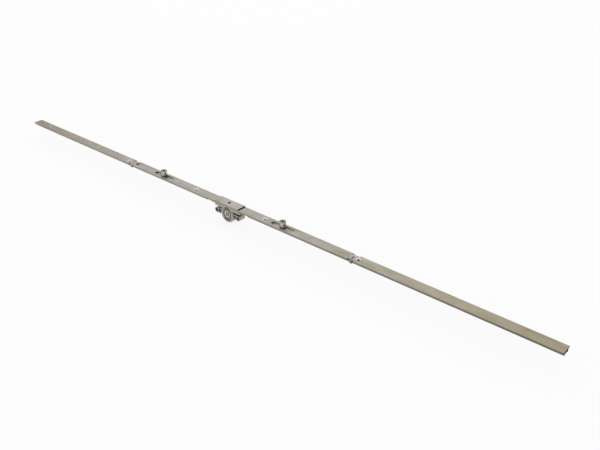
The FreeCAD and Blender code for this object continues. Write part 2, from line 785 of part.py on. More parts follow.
for node in nodes:
    if node.Shape.isNull() or not node.Shape.isValid():
        raise RuntimeError("%s has no valid shape" % node.Label)

os.makedirs("parts", exist_ok=True)
for node in nodes:
    node.Shape.exportStep("parts/%s.step" % node.Label)
    box = node.Shape.BoundBox
    print("%-20s solids %d  volume %9.1f  x %8.2f %8.2f  y %6.2f %6.2f  z %6.2f %6.2f" % (
        node.Label, len(node.Shape.Solids), node.Shape.Volume,
        box.XMin, box.XMax, box.YMin, box.YMax, box.ZMin, box.ZMax))
print("travel", round(TRAVEL.value, 3), "pitch radius", PITCH_RADIUS.value)
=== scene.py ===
import math

import bmesh
import bpy
from bpy.props import FloatProperty, PointerProperty, StringProperty
from bpy.types import NodeSocket, Operator, Panel, PropertyGroup
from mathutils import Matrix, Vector


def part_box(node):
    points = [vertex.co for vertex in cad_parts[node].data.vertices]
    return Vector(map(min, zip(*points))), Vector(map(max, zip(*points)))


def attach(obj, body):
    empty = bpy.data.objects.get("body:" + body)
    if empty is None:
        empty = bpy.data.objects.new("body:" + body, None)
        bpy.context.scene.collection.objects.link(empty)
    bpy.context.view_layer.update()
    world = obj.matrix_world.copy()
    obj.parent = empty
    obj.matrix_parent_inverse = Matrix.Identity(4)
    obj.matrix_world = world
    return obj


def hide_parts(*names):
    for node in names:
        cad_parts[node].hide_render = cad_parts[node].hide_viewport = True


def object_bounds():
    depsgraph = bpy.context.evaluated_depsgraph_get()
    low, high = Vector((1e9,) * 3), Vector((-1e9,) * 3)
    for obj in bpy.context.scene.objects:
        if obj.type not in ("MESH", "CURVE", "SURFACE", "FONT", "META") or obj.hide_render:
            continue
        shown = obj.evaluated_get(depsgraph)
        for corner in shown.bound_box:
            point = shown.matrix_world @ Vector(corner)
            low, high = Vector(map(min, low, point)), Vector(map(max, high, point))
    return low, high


bl_info = {
    "name": "Window espagnolette",
    "version": (1, 0, 0),
    "blender": (4, 5, 0),
    "location": "View3D > Sidebar > Espagnolette",
    "description": "Finishes and small details of a window espagnolette round its packed solids",
    "category": "Object",
}

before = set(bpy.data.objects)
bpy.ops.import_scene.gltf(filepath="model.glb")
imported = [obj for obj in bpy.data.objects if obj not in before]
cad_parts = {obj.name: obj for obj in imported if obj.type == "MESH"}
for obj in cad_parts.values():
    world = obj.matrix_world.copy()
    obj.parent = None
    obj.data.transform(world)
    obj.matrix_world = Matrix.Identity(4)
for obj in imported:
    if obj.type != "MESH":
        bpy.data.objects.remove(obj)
CAD_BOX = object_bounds()

MM = 0.001
FACETS = 96
SIDES = ("left", "right")

# Halves of the gear case, and the way along Y that each of them faces
HALVES = (("front", -1), ("back", 1))

# Faces of the gear case in mm that the small details stand on
CASE_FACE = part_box("gear_case_back")[1].y / MM
ARM_FACE = CASE_FACE - 0.8
ARM_TOP = 4.0
RAIL_BOTTOM = 7.0
BARREL = -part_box("gear_case_back")[0].z / MM

# Middles of the screw lugs, 43 mm apart, and of the rivets across the gear case
LUG = 21.5
CASE_RIVET = 15.1

# Radii in mm of the cams' recesses, inside which shade is painted dark: the roller's recess, the
# pin's hexagon
ROLLER_RECESS = 4.3
HEXAGON_MOUTH = 2.4

# Half the faceplate's width in mm, without the slit edges
PLATE_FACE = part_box("faceplate")[1].y / MM - 0.15

# Places and sizes on the stage in metres
CAMERA_AT = (0.6669, -0.6208, 0.4917)
WINDOW_AT = (-1.05, 1.2, 1.1)
WINDOW_SIZE = (1.8, 1.2)
FLOOR_HALF = 20.0


def middle_of(node):
    """Middle of a node's box."""
    low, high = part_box(node)
    return (low + high) / 2


def linear(code):
    """Linear colour of an sRGB hex value."""
    parts = [int(code.lstrip("#")[i:i + 2], 16) / 255 for i in (0, 2, 4)]
    return [c / 12.92 if c <= 0.04045 else ((c + 0.055) / 1.055) ** 2.4 for c in parts] + [1.0]


def add(tree, kind, settings=None, inputs=None):
    """One node with its settings. An input is a value, or the socket that it is linked from."""
    node = tree.nodes.new(kind)
    for name, value in (settings or {}).items():
        setattr(node, name, value)
    for key, value in (inputs or {}).items():
        if isinstance(value, NodeSocket):
            tree.links.new(value, node.inputs[key])
        else:
            node.inputs[key].default_value = value
    return node


# Sizes and colours that a user would change

def millimetres(name, description, default):
    """A length in millimetres for the panel."""
    return FloatProperty(name=name, description=description, default=default, min=0.0,
                         precision=2)


def colour(name, description, default):
    """An sRGB hex colour for the panel."""
    return StringProperty(name=name, description=description, default=default)


class StageSettings(PropertyGroup):
    lens: FloatProperty(name="Lens", description="Focal length in mm on a 36 mm sensor",
                        default=42.65, min=10.0, unit="CAMERA")
    tilt: FloatProperty(name="Tilt", description="How far the camera looks down",
                        default=math.radians(29.49), subtype="ANGLE")
    turn: FloatProperty(name="Turn", description="Camera's turn about the vertical",
                        default=math.radians(40.65), subtype="ANGLE")
    floor: colour("Floor", "Colour of the floor", "#F2F2F2")
    lamp: FloatProperty(name="Window lamp", default=2.5, min=0.0, unit="POWER",
                        description="Power of the broad lamp behind the left end")
    fill: FloatProperty(name="Sky", description="Light of the pale room on matt surfaces",
                        default=0.95, min=0.0)
    glow: FloatProperty(name="Glow", description="How white the floor looks behind the object",
                        default=0.85, min=0.0, max=1.0)


class FinishColours(PropertyGroup):
    # The left end's darker tone is painted shade over the zinc's own tone
    plate_left_and_shade: colour("Faceplate, left end", "Passivated zinc at the left end", "#817667")
    plate_middle: colour("Faceplate, middle", "Passivated zinc in the middle", "#96948D")
    plate_right: colour("Faceplate, right end", "Passivated zinc at the right end", "#A0957C")
    cover: colour("Cover", "Passivated zinc of the raised cover", "#A29E96")
    plate_olive: colour("Olive patches", "Thicker passivation film", "#8F8F72")
    plate_pink: colour("Pink patches", "Thinner passivation film", "#A8958E")
    plate_worn: colour("Rubbed edges", "Zinc rubbed bright along the edges", "#C4C1B8")
    # Painted shade: the ends, the rounded walls of holes and slots and the ring round the centre
    # hole are laid near-black
    cut: colour("Cut faces", "Bare steel of sheared ends and punched walls", "#1E1C17")
    # Painted light: a painted highlight on the countersinks' cones, and light painted on the
    # slots' straight walls, which lie in shade
    painted_light: colour("Countersinks", "Steel freshly cut after plating", "#E9E7E0")
    # Painted shade: laid on the slit edges, deeper towards the right end
    slit: colour("Slit edges", "Duller zinc over the strip's slit edges", "#4E4A40")
    rod: colour("Drive rod, left", "Passivated zinc of the rolled rod", "#928F86")
    # Painted shade: the rod darkens towards its right end, where it lies under the faceplate
    rod_right_shade: colour("Drive rod, right end", "The rod's duller right end", "#757166")
    casting: colour("Gearbox", "Zinc die casting", "#ACABA3")
    casting_flow: colour("Flow marks", "Duller zinc along the flow marks", "#7C7B75")
    casting_worn: colour("Casting's edges", "Zinc rubbed bright along the edges", "#CFCEC6")
    # Painted shade in the casting's inner corners and round the follower's journal; in the hub it
    # colours the pores
    shade_and_pores: colour("Corners", "Oil and dust in the inner corners", "#34332F")
    hub: colour("Spindle hub", "Sintered steel", "#85837D")
    # Partly painted highlight: broached steel laid near-white in the socket and the hub's mouth
    broached: colour("Square socket", "Broached and burnished steel", "#DCDAD3")
    # Painted highlight on the edges of the hub's mouth
    burnished_highlight_edges: colour("Burnished edges", "Steel rubbed bright by the spindle", "#F2F0EA")
    turned: colour("Cams", "Turned and zinc-plated steel", "#BDB7AF")
    turned_stain: colour("Cams' stains", "Dried oil on the turned steel", "#8F8881")
    turned_worn: colour("Cams' edges", "Zinc rubbed bright on the turned edges", "#E2DFD8")
    # Painted shade: laid inside the roller's recess and the pin's hexagon socket
    recess_shade: colour("Cams' bores", "Oiled steel inside a bore or a socket", "#2C2A26")
    # Painted shade: the rivets are laid dark where their recesses lie in shade
    rivet_shade: colour("Rivets", "Blackened steel", "#4B4843")
    # Paler edges of the rivets' painted shade
    rivet_shade_edges: colour("Rivets' edges", "Blackened steel rubbed bare", "#8A8780")
    stain: colour("Stains", "Dried oil on rivets and burnished steel", "#77756F")


class DetailSizes(PropertyGroup):
    edge: millimetres("Edge radius", "Softened edges of the plated parts in mm", 0.18)
    cast_edge: millimetres("Casting edge", "Rounded edges of the casting in mm", 0.35)
    fillet: millimetres("Arm fillet", "Fillet between arm and barrel in mm", 1.2)
    rail_fillet: millimetres("Rail fillet", "Fillet between rail and barrel in mm", 0.8)
    flash: millimetres("Flash", "Trimmed flash along the parting line in mm", 0.15)
    roller_edge: millimetres("Roller edge", "Rounded edge of a cam roller in mm", 0.35)
    rivet_dome: millimetres("Rivet dome", "Rounding of a case rivet's head in mm", 0.45)


def sizes():
    """The panel's sizes."""
    return bpy.context.scene.espagnolette_sizes


def colours():
    """The panel's colours."""
    return bpy.context.scene.espagnolette_colours


# Finishes

def blank(name):
    """An empty material, its tree and its output node."""
    material = bpy.data.materials.new(name)
    material.use_nodes = True
    tree = material.node_tree
    tree.nodes.clear()
    return material, tree, tree.nodes.new("ShaderNodeOutputMaterial")


def seen_directly(tree):
    """1 for the rays by which the camera, metal and glass see the backdrop, and else 0."""
    path = add(tree, "ShaderNodeLightPath")
    seen = add(tree, "ShaderNodeMath", {"operation": "MAXIMUM"}, {
        0: path.outputs["Is Camera Ray"], 1: path.outputs["Is Glossy Ray"]})
    seen = add(tree, "ShaderNodeMath", {"operation": "MAXIMUM"}, {
        0: seen.outputs["Value"], 1: path.outputs["Is Transmission Ray"]})
    return seen.outputs["Value"]


def patches(tree, where, across, detail=3.0, roughness=0.55):
    """Uneven patches, as many mm across along X, Y and Z as given: a value round 0.5."""
    spread = add(tree, "ShaderNodeMapping", {"vector_type": "POINT"},
                 {"Vector": where, "Scale": [1 / (size * MM) for size in across]})
    noise = add(tree, "ShaderNodeTexNoise", None, {
        "Vector": spread.outputs["Vector"], "Scale": 1.0, "Detail": detail,
        "Roughness": roughness})
    return noise.outputs["Fac"]


def laid_over(tree, base, top, where, low, high, most=1.0):
    """A colour laid over another: none where a value is low, and a share where it is high."""
    share = add(tree, "ShaderNodeMapRange", {"clamp": True}, {
        "Value": where, "From Min": low, "From Max": high, "To Min": 0.0, "To Max": most})
    mix = add(tree, "ShaderNodeMix", {"data_type": "RGBA"}, {
        0: share.outputs["Result"], 6: base, 7: linear(top)})
    return mix.outputs[2]


def softened(tree, radius):
    """Normal with the edges rounded by a radius in mm, and how near an edge a point lies."""
    bevel = add(tree, "ShaderNodeBevel", {"samples": 6}, {"Radius": radius * MM})
    flat = add(tree, "ShaderNodeNewGeometry")
    match = add(tree, "ShaderNodeVectorMath", {"operation": "DOT_PRODUCT"},
                {0: bevel.outputs["Normal"], 1: flat.outputs["Normal"]})
    edge = add(tree, "ShaderNodeMath", {"operation": "SUBTRACT"},
               {0: 1.0, 1: match.outputs["Value"]})
    return bevel.outputs["Normal"], edge.outputs["Value"]


def worked_faces(tree, where, reach):
    """Masks of the faces that were cut after rolling.

    The first holds the ends and the rounded walls of holes and slots, where shade is painted
    near-black; the second the cones of countersinks and the straight walls of slots, where light
    is painted on; and the third the slit edges, where shade is painted towards the right end.
    Walls lie within a reach in mm of the middle line.
    """
    facing = add(tree, "ShaderNodeNewGeometry")
    normal = add(tree, "ShaderNodeVectorMath", {"operation": "ABSOLUTE"},
                 {0: facing.outputs["True Normal"]})
    normal = add(tree, "ShaderNodeSeparateXYZ", None, {"Vector": normal.outputs["Vector"]})
    place = add(tree, "ShaderNodeVectorMath", {"operation": "ABSOLUTE"}, {0: where})
    place = add(tree, "ShaderNodeSeparateXYZ", None, {"Vector": place.outputs["Vector"]})

    # An end faces along the strip, and a wall stands upright
    end = add(tree, "ShaderNodeMath", {"operation": "GREATER_THAN"},
              {0: normal.outputs["X"], 1: 0.9})
    upright = add(tree, "ShaderNodeMath", {"operation": "LESS_THAN"},
                  {0: normal.outputs["Z"], 1: 0.15})
    inner = add(tree, "ShaderNodeMath", {"operation": "LESS_THAN"},
                {0: place.outputs["Y"], 1: reach * MM})

    # A rounded wall is one that turns towards the ends, or lies round the centre hole
    turned = add(tree, "ShaderNodeMath", {"operation": "GREATER_THAN"},
                 {0: normal.outputs["X"], 1: 0.55})
    centre = add(tree, "ShaderNodeMath", {"operation": "LESS_THAN"},
                 {0: place.outputs["X"], 1: 3 * MM})
    turned = add(tree, "ShaderNodeMath", {"operation": "MAXIMUM"},
                 {0: turned.outputs["Value"], 1: centre.outputs["Value"]})
    wall = add(tree, "ShaderNodeMath", {"operation": "MULTIPLY"},
               {0: upright.outputs["Value"], 1: inner.outputs["Value"]})
    rounded = add(tree, "ShaderNodeMath", {"operation": "MULTIPLY"},
                  {0: wall.outputs["Value"], 1: turned.outputs["Value"]})
    straight = add(tree, "ShaderNodeMath", {"operation": "SUBTRACT"},
                   {0: wall.outputs["Value"], 1: rounded.outputs["Value"]})
    # Painted shade goes on the ends and the rounded walls
    cut = add(tree, "ShaderNodeMath", {"operation": "MAXIMUM"},
              {0: end.outputs["Value"], 1: rounded.outputs["Value"]})

    # A countersink slopes by 23 to 73 degrees, and is at most 9 mm wide
    slope = add(tree, "ShaderNodeMath", {"operation": "COMPARE"},
                {0: normal.outputs["Z"], 1: 0.61, 2: 0.31})
    near = add(tree, "ShaderNodeMath", {"operation": "LESS_THAN"},
               {0: place.outputs["Y"], 1: 4.5 * MM})
    # Light is painted on the countersinks' cones and the slots' straight walls
    painted_light = add(tree, "ShaderNodeMath", {"operation": "MULTIPLY"},
               {0: slope.outputs["Value"], 1: near.outputs["Value"]})
    painted_light = add(tree, "ShaderNodeMath", {"operation": "MAXIMUM"},
               {0: painted_light.outputs["Value"], 1: straight.outputs["Value"]})

    # A slit edge faces across the strip and lies outside the reach
    side = add(tree, "ShaderNodeMath", {"operation": "SUBTRACT"},
               {0: normal.outputs["Y"], 1: inner.outputs["Value"]})
    return cut.outputs["Value"], painted_light.outputs["Value"], side.outputs["Value"]


def metal(tree, output, base, rough, reliefs, rounded, matt=None):
    """Metal of a base colour.

    rough is a pattern with the roughness at its low and high ends, and each relief is a
    pattern with its full depth in mm. Where the matt mask is 1, nothing is left of the
    metal's shine, so that shade painted there stays dark.
    """
    roughness = add(tree, "ShaderNodeMapRange", {"clamp": True}, {
        "Value": rough[0], "From Min": 0.3, "From Max": 0.7,
        "To Min": rough[1], "To Max": rough[2]})
    normal = rounded
    for height, depth in reliefs:
        bump = add(tree, "ShaderNodeBump", None,
                   {"Height": height, "Distance": depth * MM, "Normal": normal})
        normal = bump.outputs["Normal"]
    shader = add(tree, "ShaderNodeBsdfPrincipled", None, {
        "Base Color": base, "Metallic": 1.0, "Roughness": roughness.outputs["Result"],
        "Normal": normal})
    if matt:
        for socket, full in (("Metallic", 1.0), ("Specular IOR Level", 0.5)):
            shine = add(tree, "ShaderNodeMapRange", None, {
                "Value": matt, "From Min": 0.0, "From Max": 1.0, "To Min": full, "To Max": 0.0})
            tree.links.new(shine.outputs["Result"], shader.inputs[socket])
    tree.links.new(shader.outputs["BSDF"], output.inputs["Surface"])


def plated_strip(name, tones, reach):
    """Cold-rolled steel, electroplated with zinc and passivated.

    It gives a satin grey with faint olive and pink clouds, fine rolling lines along the
    strip and brighter rubbed edges, with painted shade on the ends, hole walls and slit edges
    and at one end of the strip, and painted light on the countersinks and slot walls.
    """
    material, tree, output = blank(name)
    where = add(tree, "ShaderNodeTexCoord").outputs["Object"]
    axes = add(tree, "ShaderNodeSeparateXYZ", None, {"Vector": where})
    along = add(tree, "ShaderNodeMapRange", None, {
        "Value": axes.outputs["X"], "From Min": CAD_BOX[0].x, "From Max": CAD_BOX[1].x})
    # Tone along the strip: a darker end, such as the faceplate's left end or the rod's right end,
    # is painted shade over the zinc's own tone
    tone = add(tree, "ShaderNodeValToRGB", None, {"Fac": along.outputs["Result"]})
    ramp = tone.color_ramp
    ramp.elements[0].color = linear(tones[0])
    ramp.elements[1].color = linear(tones[2])
    ramp.elements.new(0.36).color = linear(tones[1])
    ramp.elements.new(0.62).color = linear(tones[1])

    # Clouds of the passivation film, 25 mm and 13 mm long
    clouds = patches(tree, where, (25, 9, 9), 3.0)
    spots = patches(tree, where, (13, 9, 9), 2.0)
    base = laid_over(tree, tone.outputs["Color"], colours().plate_olive, clouds, 0.48, 0.68, 0.75)
    base = laid_over(tree, base, colours().plate_pink, spots, 0.5, 0.68, 0.75)

    # Rolling lines are about 0.05 mm apart, and are drawn 0.35 mm apart to show at all
    lines = patches(tree, where, (60, 0.35, 0.35), 2.0)
    base = laid_over(tree, base, colours().plate_worn, lines, 0.35, 0.7, 0.16)

    # Peel of the zinc, about 1.5 mm from hump to hump
    peel = patches(tree, where, (1.5, 1.5, 1.5), 2.0)
    rounded, edge = softened(tree, sizes().edge)
    base = laid_over(tree, base, colours().plate_worn, edge, 0.005, 0.2, 0.5)
    cut, painted_light, side = worked_faces(tree, where, reach)
    # Painted shade on the slit edges, growing towards the right end
    slit = add(tree, "ShaderNodeMath", {"operation": "MULTIPLY"},
               {0: side, 1: along.outputs["Result"]})
    base = laid_over(tree, base, colours().slit, slit.outputs["Value"], 0.35, 1.0, 0.6)
    # Painted highlight on the countersinks, and painted light on the slots' straight walls
    base = laid_over(tree, base, colours().painted_light, painted_light, 0.0, 1.0, 0.9)
    # Painted shade: near-black on the ends and the rounded walls, which also lose their shine
    base = laid_over(tree, base, colours().cut, cut, 0.0, 1.0)

    # Painted shade round the centre hole, as far as 2.6 mm from its middle
    plane = add(tree, "ShaderNodeCombineXYZ", None,
                {"X": axes.outputs["X"], "Y": axes.outputs["Y"]})
    spread = add(tree, "ShaderNodeVectorMath", {"operation": "LENGTH"},
                 {0: plane.outputs["Vector"]})
    base = laid_over(tree, base, colours().cut, spread.outputs["Value"],
                     2.6 * MM, 2.2 * MM)
    metal(tree, output, base, (clouds, 0.34, 0.5), [(lines, 0.005), (peel, 0.02)], rounded, cut)
    return material


def zinc_casting():
    """Zinc alloy, die-cast and tumbled.

    It gives a matt grey with a fine sandy skin, flow marks a few mm long, paler edges where
    the parts rubbed on each other in the drum, and painted shade in the inner corners and round
    the follower.
    """
    material, tree, output = blank("die_cast_zinc_tumbled")
    where = add(tree, "ShaderNodeTexCoord").outputs["Object"]
    flow = patches(tree, where, (7, 3, 3), 4.0, 0.65)
    skin = patches(tree, where, (0.4, 0.4, 0.4), 3.0, 0.7)
    rounded, edge = softened(tree, sizes().cast_edge)
    open_sky = add(tree, "ShaderNodeAmbientOcclusion", {"samples": 6}, {"Distance": 3 * MM})
    base = laid_over(tree, linear(colours().casting), colours().casting_flow,
                     flow, 0.42, 0.72, 0.8)
    base = laid_over(tree, base, colours().casting_worn, edge, 0.005, 0.2, 0.8)
    # Painted shade: the inner corners darken as less of the room reaches them
    base = laid_over(tree, base, colours().shade_and_pores, open_sky.outputs["AO"], 0.8, 0.3, 0.9)

    # Painted shade round the follower's journal, as far as 8.4 mm from its axis
    axes = add(tree, "ShaderNodeSeparateXYZ", None, {"Vector": where})
    plane = add(tree, "ShaderNodeCombineXYZ", None,
                {"X": axes.outputs["X"], "Y": axes.outputs["Z"]})
    reach = add(tree, "ShaderNodeVectorMath", {"operation": "LENGTH"},
                {0: plane.outputs["Vector"]})
    base = laid_over(tree, base, colours().shade_and_pores, reach.outputs["Value"],
                     8.4 * MM, 7.4 * MM, 0.8)
    metal(tree, output, base, (flow, 0.34, 0.5), [(skin, 0.03)], rounded)
    return material


def sintered_steel():
    """Sintered and steam-treated steel with a broached socket.

    It gives a dark even grey with pores a few tenths of a mm wide, and bright walls in the
    square socket, where the broach and the spindle have smoothed it, raised to a painted
    highlight.
    """
    material, tree, output = blank("sintered_steel")
    where = add(tree, "ShaderNodeTexCoord").outputs["Object"]
    grains = patches(tree, where, (0.3, 0.3, 0.3), 2.0, 0.7)
    stain = patches(tree, where, (5, 5, 5), 3.0)
    rounded, edge = softened(tree, sizes().edge)
    place = add(tree, "ShaderNodeVectorMath", {"operation": "ABSOLUTE"}, {0: where})
    place = add(tree, "ShaderNodeSeparateXYZ", None, {"Vector": place.outputs["Vector"]})
    reach = add(tree, "ShaderNodeMath", {"operation": "MAXIMUM"},
                {0: place.outputs["X"], 1: place.outputs["Z"]})
    base = laid_over(tree, linear(colours().hub), colours().shade_and_pores, grains, 0.56, 0.7, 0.7)
    base = laid_over(tree, base, colours().casting_worn, edge, 0.005, 0.2, 0.6)
    # Painted highlight on the broached socket walls
    base = laid_over(tree, base, colours().broached, reach.outputs["Value"],
                     3.7 * MM, 3.6 * MM, 0.9)
    metal(tree, output, base, (stain, 0.3, 0.5), [(grains, 0.02)], rounded)
    return material


def smooth_steel(name, code, worn, rough):
    """Steel with a fine clean surface: the socket's burnished mouth, or a rivet.

    It gives one even tone with faint stains 2 mm wide and edges rubbed to another tone.
    """
    material, tree, output = blank(name)
    where = add(tree, "ShaderNodeTexCoord").outputs["Object"]
    stain = patches(tree, where, (2, 2, 2), 3.0)
    grain = patches(tree, where, (0.25, 0.25, 0.25), 2.0)
    rounded, edge = softened(tree, sizes().edge)
    base = laid_over(tree, linear(code), colours().stain, stain, 0.4, 0.7, 0.25)
    base = laid_over(tree, base, worn, edge, 0.005, 0.2, 0.6)
    metal(tree, output, base, (stain, rough, rough + 0.12), [(grain, 0.006)], rounded)
    return material


def turned_steel(name, bore):
    """Free-cutting steel, turned on a lathe and zinc-plated, with shade painted inside its bore.

    It gives a bright grey with tool marks that run round the axis, on faces and walls alike,
    and painted shade within the bore's radius in mm.
    """
    material, tree, output = blank(name)
    where = add(tree, "ShaderNodeTexCoord").outputs["Object"]
    axes = add(tree, "ShaderNodeSeparateXYZ", None, {"Vector": where})
    flat = add(tree, "ShaderNodeCombineXYZ", None,
               {"X": axes.outputs["X"], "Y": axes.outputs["Y"]})
    radius = add(tree, "ShaderNodeVectorMath", {"operation": "LENGTH"},
                 {0: flat.outputs["Vector"]})
    path = add(tree, "ShaderNodeMath", {"operation": "ADD"},
               {0: radius.outputs["Value"], 1: axes.outputs["Z"]})

    # Feed of the tool, 0.15 mm a turn
    marks = add(tree, "ShaderNodeTexNoise", {"noise_dimensions": "1D"}, {
        "W": path.outputs["Value"], "Scale": 1 / (0.15 * MM), "Detail": 1.0})
    stain = patches(tree, where, (3, 3, 3), 3.0)
    rounded, edge = softened(tree, sizes().edge)
    base = laid_over(tree, linear(colours().turned), colours().turned_stain,
                     stain, 0.4, 0.7, 0.5)
    base = laid_over(tree, base, colours().turned_worn, edge, 0.005, 0.2, 0.6)
    # Painted shade within the bore's radius
    base = laid_over(tree, base, colours().recess_shade, radius.outputs["Value"],
                     (bore + 0.02) * MM, bore * MM, 0.95)
    metal(tree, output, base, (stain, 0.22, 0.36), [(marks.outputs["Fac"], 0.004)], rounded)
    return material


def finish_of(key):
    """The named finish, made once."""
    tone = colours()
    makers = {
        "zinc_plated_rolled_strip": lambda: plated_strip("zinc_plated_rolled_strip", (
            tone.plate_left_and_shade, tone.plate_middle, tone.plate_right), PLATE_FACE),
        "zinc_plated_punched_cover": lambda: plated_strip("zinc_plated_punched_cover", (
            tone.cover, tone.cover, tone.cover), PLATE_FACE),
        # The rod's darker right end is painted shade
        "zinc_plated_rolled_rod": lambda: plated_strip("zinc_plated_rolled_rod", (
            tone.rod, tone.rod, tone.rod_right_shade), 0.0),
        "zinc_plated_pressed_steel": lambda: plated_strip("zinc_plated_pressed_steel", (
            tone.plate_middle, tone.plate_middle, tone.plate_middle), 0.0),
        "die_cast_zinc_tumbled": zinc_casting,
        "sintered_steel": sintered_steel,
        "turned_zinc_plated_sleeve": lambda: turned_steel(
            "turned_zinc_plated_sleeve", ROLLER_RECESS + 0.05),
        "turned_zinc_plated_pin": lambda: turned_steel(
            "turned_zinc_plated_pin", HEXAGON_MOUTH + 0.05),
        # The mouth's near-white tone is partly painted highlight
        "burnished_highlight_steel": lambda: smooth_steel(
            "burnished_highlight_steel", tone.broached, tone.burnished_highlight_edges, 0.2),
        # The rivets' dark tone is painted shade
        "rivet_shade_steel": lambda: smooth_steel(
            "rivet_shade_steel", tone.rivet_shade, tone.rivet_shade_edges, 0.4),
        "peened_rivet_steel": lambda: smooth_steel(
            "peened_rivet_steel", tone.plate_middle, tone.plate_worn, 0.34),
    }
    return bpy.data.materials.get(key) or makers[key]()


def dress(node, key):
    """Give a kept node its finish."""
    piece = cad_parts[node]
    if not piece.material_slots:
        piece.data.materials.append(None)
    for slot in piece.material_slots:
        slot.material = finish_of(key)


# Meshes

def finished(name, mesh, body, key, at=(0, 0, 0), toward=0, smooth=35):
    """A new piece from a bmesh, riding on a body, with edges over smooth degrees sharp.

    Its Z axis is laid along Y where toward is 1, or against it where toward is -1; its Y axis
    then points down or up.
    """
    bmesh.ops.recalc_face_normals(mesh, faces=mesh.faces[:])
    data = bpy.data.meshes.new(name)
    mesh.to_mesh(data)
    mesh.free()
    data.shade_smooth()
    data.set_sharp_from_angle(angle=math.radians(smooth))
    data.materials.append(finish_of(key))
    piece = bpy.data.objects.new(name, data)
    bpy.context.scene.collection.objects.link(piece)
    piece.location = at
    piece.rotation_euler.x = -toward * math.pi / 2
    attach(piece, body)
    return piece


def rounded_profile(points, steps=4):
    """Corners of a profile of (radius, height, rounding) in mm turned into short arcs."""
    smooth = []
    count = len(points)
    for i, (x, y, rounding) in enumerate(points):
        here = Vector((x, y))
        before = Vector(points[i - 1][:2])
        after = Vector(points[(i + 1) % count][:2])
        if rounding <= 0:
            smooth.append(here)
            continue
        start = here + (before - here).normalized() * rounding
        end = here + (after - here).normalized() * rounding
        for k in range(steps + 1):
            t = k / steps
            smooth.append(start * (1 - t) ** 2 + here * 2 * t * (1 - t) + end * t ** 2)
    return smooth


def joined(mesh, loops):
    """Faces between each closed loop of corners and the next."""
    for first, second in zip(loops, loops[1:]):
        count = len(first)
        for k in range(count):
            n = (k + 1) % count
            mesh.faces.new([first[k], first[n], second[n], second[k]])


def loop_of_flats(mesh, flats, reach, height, turn=0.0):
    """Loop of corners round Z with so many flats, which lie as far from the axis in mm.

    No flats make a circle. The first flat starts at the X axis, or a turn before it.
    """
    loop = []
    for k in range(FACETS):
        angle = 2 * math.pi * k / FACETS
        radius = reach
        if flats:
            width = 2 * math.pi / flats
            radius = reach / math.cos((angle + turn) % width - width / 2)
        loop.append(mesh.verts.new((radius * math.cos(angle) * MM,
                                    radius * math.sin(angle) * MM, height * MM)))
    return loop


def lathe(mesh, profile, closed=True, segments=FACETS, centre=(0, 0, 0)):
    """Rings round Z through (radius, height) points in mm, joined into a skin."""
    middle = Vector(centre)
    rings = []
    for radius, height in profile:
        # A point on the axis is one corner
        if radius < 1e-6:
            rings.append([mesh.verts.new(middle + Vector((0, 0, height * MM)))])
            continue
        ring = []
        for k in range(segments):
            angle = 2 * math.pi * k / segments
            ring.append(mesh.verts.new(middle + Vector((
                radius * MM * math.cos(angle), radius * MM * math.sin(angle), height * MM))))
        rings.append(ring)
    pairs = list(zip(rings, rings[1:]))
    if closed:
        pairs.append((rings[-1], rings[0]))
    for low, high in pairs:
        for k in range(segments):
            n = (k + 1) % segments
            corners = dict.fromkeys((low[k % len(low)], low[n % len(low)],
                                     high[n % len(high)], high[k % len(high)]))
            if len(corners) > 2:
                mesh.faces.new(list(corners))
    return rings


def raised_ring(mesh, inner, outer, height, lean, rounding, segments=FACETS, centre=(0, 0, 0)):
    """Ring on the gear case's face between two radii in mm, whose walls lean in."""
    foot = CASE_FACE - 0.1
    top = CASE_FACE + height
    lathe(mesh, rounded_profile([
        (inner, foot, 0), (outer, foot, 0), (outer - lean, top, rounding),
        (inner + lean, top, rounding)]), segments=segments, centre=centre)


def extruded(mesh, outline, axis, low, high):
    """A solid along an axis between two places in mm, over an outline in mm.

    The outline's pairs are (y, z) along X, (x, z) along Y and (x, y) along Z.
    """
    rows = []
    for place in (low, high):
        row = []
        for point in outline:
            corner = list(point)
            corner.insert("XYZ".index(axis), place)
            row.append(mesh.verts.new(Vector(corner) * MM))
        rows.append(row)
    mesh.faces.new(rows[0])
    mesh.faces.new(rows[1][::-1])
    joined(mesh, rows)


def fillet_outline(level, radius, below):
    """Corner between a level edge and the barrel, filled by a hollow of a radius in mm."""
    rise = -radius if below else radius
    centre = Vector((math.sqrt((BARREL + radius) ** 2 - (level + rise) ** 2), level + rise))
    touch = centre * (BARREL / (BARREL + radius))
    start = math.atan2(level - centre.y, 0.0)
    end = math.atan2(touch.y - centre.y, touch.x - centre.x)
    turn = (end - start + math.pi) % (2 * math.pi) - math.pi

    # The corner and the last point lie a little inside the case, so that no gap shows
    points = [Vector((math.sqrt(BARREL ** 2 - level ** 2) - 0.2, level - rise * 0.15))]
    steps = 8
    for k in range(steps + 1):
        angle = start + turn * k / steps
        points.append(centre + Vector((math.cos(angle), math.sin(angle))) * radius)
    points.append(touch * 0.98)
    return points


# Operators

